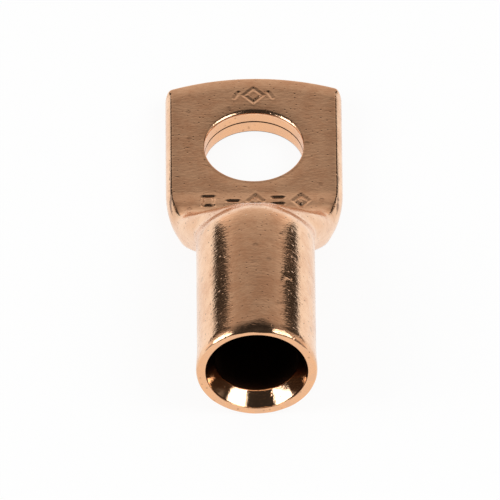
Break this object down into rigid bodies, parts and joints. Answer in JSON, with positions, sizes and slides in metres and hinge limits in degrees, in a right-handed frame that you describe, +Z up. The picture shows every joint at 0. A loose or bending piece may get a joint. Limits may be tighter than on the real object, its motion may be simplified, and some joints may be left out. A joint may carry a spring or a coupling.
{
  "type": "copper cable lug",
  "caption": "Tubular cable lug: a round crimp barrel with a chamfered wire bore, pressed flat at the other end into a palm with a stud hole.",
  "frame": {"origin": "on the stud hole's axis, in the plane of the palm's underside, which is also the plane that the lug rests on", "axes": "+Z up along the stud, +Y along the lug from the barrel's open mouth towards the palm's far edge, +X across the palm"},
  "size_m": [0.015, 0.0384, 0.01],
  "materials": {
    "copper": null
  },
  "bodies": {
    "root": {"lug": "copper"}
  },
  "joints": []
}
